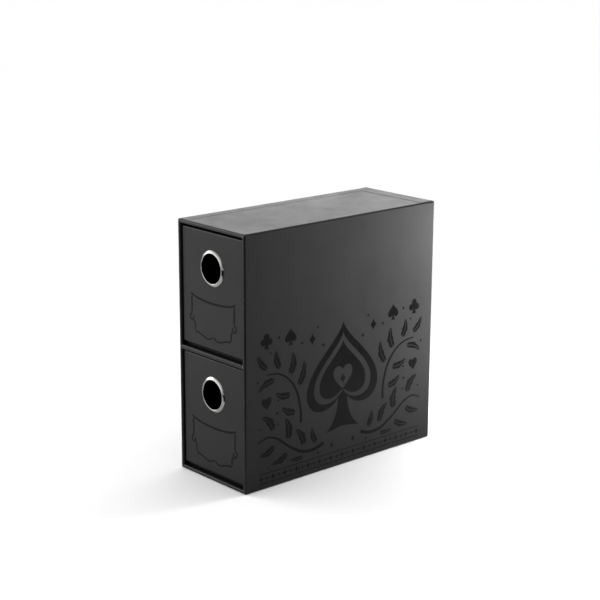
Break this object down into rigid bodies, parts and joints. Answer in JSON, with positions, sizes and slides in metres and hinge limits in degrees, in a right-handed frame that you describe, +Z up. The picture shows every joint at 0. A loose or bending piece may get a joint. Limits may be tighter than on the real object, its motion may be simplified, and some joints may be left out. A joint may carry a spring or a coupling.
{
  "type": "card storage box",
  "caption": "Upright paper-covered cardboard slipcase for playing cards, with stacked pull-out drawers, each with a metal finger ring and a printed label frame.",
  "frame": {"origin": "middle of the footprint, on the surface that the box stands on", "axes": "+Z up; +Y to the back, so the drawers pull out along -Y; +X to the right of someone facing the drawers"},
  "size_m": [0.083, 0.208, 0.21],
  "materials": {
    "cover_paper": "satin",
    "lining_paper": "matte",
    "greyboard": "matte",
    "finger_ring": "polished",
    "ring_backing": "satin"
  },
  "bodies": {
    "case": {"case_left_board": "greyboard", "case_right_board": "greyboard", "case_back_board": "greyboard", "case_top_board": "greyboard", "case_bottom_board": "greyboard", "shelf_board": "greyboard", "upper_compartment_lining": "lining_paper", "lower_compartment_lining": "lining_paper", "shelf_edge_strip": "cover_paper", "case_left_sheet": "cover_paper", "case_back_sheet": "cover_paper", "case_main_sheet": "cover_paper", "case_base_sheet": "cover_paper"},
    "upper_drawer": {"upper_facing_board": "greyboard", "upper_facing_sheet": "cover_paper", "upper_tray_left_board": "greyboard", "upper_tray_right_board": "greyboard", "upper_tray_front_board": "greyboard", "upper_tray_back_board": "greyboard", "upper_tray_bottom_board": "greyboard", "upper_tray_lining": "lining_paper", "upper_tray_base_sheet": "cover_paper", "upper_tray_sheet": "cover_paper", "upper_finger_ring": "finger_ring", "upper_ring_backing": "ring_backing"},
    "lower_drawer": {"lower_facing_board": "greyboard", "lower_facing_sheet": "cover_paper", "lower_tray_left_board": "greyboard", "lower_tray_right_board": "greyboard", "lower_tray_front_board": "greyboard", "lower_tray_back_board": "greyboard", "lower_tray_bottom_board": "greyboard", "lower_tray_lining": "lining_paper", "lower_tray_base_sheet": "cover_paper", "lower_tray_sheet": "cover_paper", "lower_finger_ring": "finger_ring", "lower_ring_backing": "ring_backing"}
  },
  "joints": [
    {"name": "upper_drawer_slide", "type": "slide", "parent": "case", "child": "upper_drawer", "axis": [0, -1, 0], "range_m": [0, 0.205]},
    {"name": "lower_drawer_slide", "type": "slide", "parent": "case", "child": "lower_drawer", "axis": [0, -1, 0], "range_m": [0, 0.205]}
  ]
}
